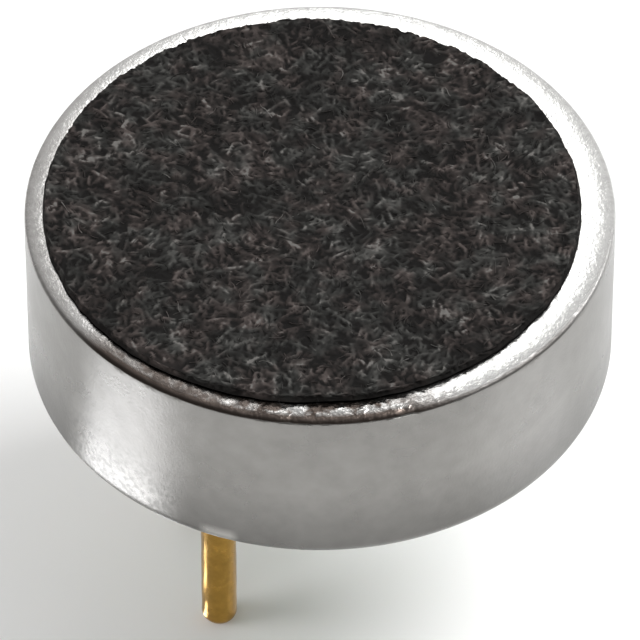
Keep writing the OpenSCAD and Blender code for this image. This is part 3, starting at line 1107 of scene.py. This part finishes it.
def fibre_piece(name, web, ground, settings):
    """One plain mesh of fibres, made by the tree on the felt's own faces."""
    source = add_object(name + "_source", ground.data.copy())
    modifier = source.modifiers.new("fibres", "NODES")
    modifier.node_group = web.tree
    for key, value in settings.items():
        modifier[web.sockets[key]] = value
    bpy.context.view_layer.update()
    made = source.evaluated_get(bpy.context.evaluated_depsgraph_get())
    mesh = bpy.data.meshes.new_from_object(made)
    source.modifiers.clear()
    bpy.data.objects.remove(source)
    if not len(mesh.polygons):
        raise RuntimeError(f"{name} has no fibres")
    mesh.shade_smooth()
    return add_object(name, mesh)


# Stage

def make_floor(looks):
    """A wide pale floor at the ends of the pins."""
    finish = Finish("pale_floor")
    pale = finish.shade(finish.grain(8 * MM), looks.floor, 0.99, 1)
    mesh = bpy.data.meshes.new("floor")
    corners = [(x * FLOOR_HALF, y * FLOOR_HALF, CAD_BOX[0].z) for x, y in FLOOR_CORNERS]
    mesh.from_pydata(corners, [], [(0, 1, 2, 3)])
    add_object("floor", mesh, finish.set(Base_Color=pale, Roughness=0.8))


def add_light(name, place, size, watts, way):
    """A soft rectangular light that shines along a direction; its size is in millimetres."""
    lamp = bpy.data.lights.new(name, "AREA")
    lamp.shape = "RECTANGLE"
    lamp.size, lamp.size_y, lamp.energy = size[0] * MM, size[1] * MM, watts
    item = bpy.data.objects.new(name, lamp)
    item.location = place
    item.rotation_mode = "QUATERNION"
    item.rotation_quaternion = way.to_track_quat("-Z", "Y")
    item.visible_camera = False
    bpy.context.scene.collection.objects.link(item)
    return item


def make_lights(right, away):
    """Soft boxes around the capsule, and cards on the floor."""
    up = Vector((0, 0, 1))
    for name, (place, size, watts) in SOFT_BOXES.items():
        spot = (right * place[0] + away * place[1] + up * place[2]) * MM
        box = add_light(name, spot, size, watts, up * AIM_HEIGHT - spot)
        if name.endswith("_fill"):
            box.visible_glossy = False
            box.data.spread = math.radians(FILL_SPREAD_DEGREES)
    pin = Vector((*pin_places()[1], 0))
    for middle, cards in ((Vector(), AXIS_CARDS), (pin, PIN_CARDS)):
        for name, (place, size, watts) in cards.items():
            spot = middle + (right * place[0] + away * place[1]) * MM
            spot.z = CAD_BOX[0].z + CARD_HEIGHT
            add_light(name, spot, size, watts, up).data.color = CARD_COLOUR


def make_sky(right, away):
    """Surroundings that are brightest behind the capsule, to the right."""
    world = bpy.data.worlds.new("studio")
    bpy.context.scene.world = world
    world.use_nodes = True
    sky = Nodes(world.node_tree)
    way = sky.add("ShaderNodeTexCoord").outputs["Generated"]
    facing = sky.vector("DOT_PRODUCT", way, away * 0.86 + right * 0.5)
    glow = sky.ramp(sky.span(facing, -1, 1, 0, 1), SKY)
    sky.feed(sky.tree.nodes["Background"].inputs["Color"], glow)


def make_camera(looks, away):
    """The camera at the photograph's place."""
    lens = bpy.data.cameras.new("photo_view")
    lens.lens = looks.lens
    lens.sensor_width = 36
    lens.clip_start, lens.clip_end = 1 * MM, 10
    eye = bpy.data.objects.new("photo_view", lens)
    towards = -away * math.cos(looks.elevation) + Vector((0, 0, math.sin(looks.elevation)))
    eye.location = Vector((0, 0, looks.target)) + towards * looks.distance
    eye.rotation_mode = "QUATERNION"
    eye.rotation_quaternion = (-towards).to_track_quat("-Z", "Y")
    bpy.context.scene.collection.objects.link(eye)
    bpy.context.scene.camera = eye


# Operators

class CAPSULE_OT_can(bpy.types.Operator):
    """Make the drawn can with its worn front edge"""
    bl_idname = "capsule.make_can"
    bl_label = "Make Can"

    def execute(self, context):
        looks = context.scene.capsule_can
        can = add_object("can_shell", can_mesh(looks), can_metal(looks))
        put(can, "aluminium", "can")
        return {"FINISHED"}


class CAPSULE_OT_felt(bpy.types.Operator):
    """Make the felt disc and the fibres on it"""
    bl_idname = "capsule.make_felt"
    bl_label = "Make Dust Felt"

    def execute(self, context):
        looks = context.scene.capsule_felt
        disc = add_object("dust_felt_disc", felt_mesh(looks), felt_skin("felt_face", looks, 0.85))
        put(disc, "felt", "dust_felt")
        web = fibre_web()
        radius = FELT_HALF.x
        area = math.pi * radius**2
        band_start = radius - EDGE_BAND
        common = {
            "Centre": (FELT_MID.x, FELT_MID.y, 0.0), "Material": felt_skin("felt_fibre", looks, 0.6),
            "Lift": looks.lift, "Flat": looks.flat, "Inner_Radius": 0.0, "Outer_Radius": radius - 0.03 * MM,
            "Edge_Margin": 0.3 * MM, "Shortest": looks.shortest, "Longest": looks.longest,
            "Tilt": FIBRE_TILT, "Darkest": 0.3, "Palest": 0.54,
        }
        layers = {
            f"felt_fibres_{layer + 1}": {"Density": looks.fibres / area, "Seed": 20 + layer * 10}
            for layer in range(looks.layers)
        }
        layers["felt_loose_fibres"] = {
            "Density": looks.loose_fibres / area, "Seed": 60, "Lift": looks.lift * 2,
            "Darkest": 0.62, "Palest": 0.88,
        }
        # The fraying edge fibres are darker: partly a denser cut edge, partly painted shade on the felt's
        # side.
        layers["felt_edge_fibres"] = {
            "Inner_Radius": band_start, "Outer_Radius": radius + 0.05 * MM, "Edge_Margin": 0.1 * MM,
            "Density": looks.edge_fibres / (area - math.pi * band_start**2), "Shortest": 0.1 * MM,
            "Longest": 0.2 * MM, "Tilt": EDGE_TILT, "Seed": 90, "Darkest": 0.1, "Palest": 0.45,
        }
        for name, settings in layers.items():
            put(fibre_piece(name, web, disc, {**common, **settings}), "felt")
        return {"FINISHED"}


class CAPSULE_OT_pins(bpy.types.Operator):
    """Make the two gold pins"""
    bl_idname = "capsule.make_pins"
    bl_label = "Make Pins"

    def execute(self, context):
        looks = context.scene.capsule_pins
        gold = pin_gold(looks)
        for node in ("output_pin", "ground_pin"):
            put(add_object(node + "_turned", pin_mesh(node, looks), gold), "gold_plate", node)
        return {"FINISHED"}


class CAPSULE_OT_solder(bpy.types.Operator):
    """Make the solder around both pins"""
    bl_idname = "capsule.make_solder"
    bl_label = "Make Solder"

    def execute(self, context):
        looks = context.scene.capsule_pins
        skin = pin_solder(looks)
        for node in ("output_pin_solder", "ground_pin_solder"):
            put(add_object(node + "_cone", solder_mesh(node, looks), skin), "solder", node)
        return {"FINISHED"}


class CAPSULE_OT_board(bpy.types.Operator):
    """Make the board and the copper on its outer face"""
    bl_idname = "capsule.make_board"
    bl_label = "Make Board"

    def execute(self, context):
        looks = context.scene.capsule_board
        put(add_object("board_disc", board_mesh(looks), board_mask(looks)), "board", "circuit_board")
        copper = plain_skin("gold_flash", looks.copper, 0.3, True)
        put(add_object("rear_copper_pattern", copper_mesh(looks), copper), "copper", "rear_copper")
        return {"FINISHED"}


class CAPSULE_OT_inside(bpy.types.Operator):
    """Give the pieces inside the can their finishes"""
    bl_idname = "capsule.finish_inside"
    bl_label = "Finish Inside"

    def execute(self, context):
        tints = {m["slot"]: tuple(m["base_color"]) for m in frame["record"]["materials"]}
        skins = {
            slot: plain_skin(name, scaled(tints[slot], shade), roughness, metal)
            for slot, (name, metal, roughness, shade) in INSIDE.items()
        }
        for part in frame["record"]["subparts"]:
            item = frame["nodes"][part["node"]]
            if not item.hide_render:
                item.data.materials.clear()
                item.data.materials.append(skins[part["material_slot"]])
        return {"FINISHED"}


class CAPSULE_OT_stage(bpy.types.Operator):
    """Make the floor, the lights and the camera"""
    bl_idname = "capsule.make_stage"
    bl_label = "Make Stage"

    def execute(self, context):
        looks = context.scene.capsule_stage
        context.scene.view_settings.view_transform = "Standard"
        away = Vector((-math.sin(looks.azimuth), math.cos(looks.azimuth), 0))
        right = Vector((math.cos(looks.azimuth), math.sin(looks.azimuth), 0))
        make_floor(looks)
        make_lights(right, away)
        make_sky(right, away)
        make_camera(looks, away)
        return {"FINISHED"}


class CAPSULE_PT_panel(bpy.types.Panel):
    """Lists the steps that make the capsule, with their sizes and colours"""
    bl_idname = "CAPSULE_PT_panel"
    bl_label = "Microphone Capsule"
    bl_space_type = "VIEW_3D"
    bl_region_type = "UI"
    bl_category = "Capsule"

    def draw(self, context):
        for operator in OPERATORS:
            self.layout.operator(operator.bl_idname)
        for key, group in GROUPS.items():
            box = self.layout.box()
            box.label(text=group.__doc__.rstrip("."))
            looks = getattr(context.scene, key)
            for name in group.__annotations__:
                box.prop(looks, name, text=label(name))


GROUPS = {
    "capsule_can": CanLooks,
    "capsule_felt": FeltLooks,
    "capsule_pins": PinLooks,
    "capsule_board": BoardLooks,
    "capsule_stage": StageLooks,
}
OPERATORS = (
    CAPSULE_OT_stage,
    CAPSULE_OT_can,
    CAPSULE_OT_felt,
    CAPSULE_OT_pins,
    CAPSULE_OT_solder,
    CAPSULE_OT_board,
    CAPSULE_OT_inside,
)


def register():
    for group in GROUPS.values():
        bpy.utils.register_class(group)
    for operator in OPERATORS:
        bpy.utils.register_class(operator)
    bpy.utils.register_class(CAPSULE_PT_panel)
    for key, group in GROUPS.items():
        setattr(bpy.types.Scene, key, bpy.props.PointerProperty(type=group))


def unregister():
    for key in GROUPS:
        delattr(bpy.types.Scene, key)
    bpy.utils.unregister_class(CAPSULE_PT_panel)
    for operator in reversed(OPERATORS):
        bpy.utils.unregister_class(operator)
    for group in reversed(GROUPS.values()):
        bpy.utils.unregister_class(group)


def main():
    register()
    bpy.ops.capsule.make_stage()
    bpy.ops.capsule.make_can()
    bpy.ops.capsule.make_felt()
    bpy.ops.capsule.make_pins()
    bpy.ops.capsule.make_solder()
    bpy.ops.capsule.make_board()
    bpy.ops.capsule.finish_inside()


if __name__ == "__main__":
    main()
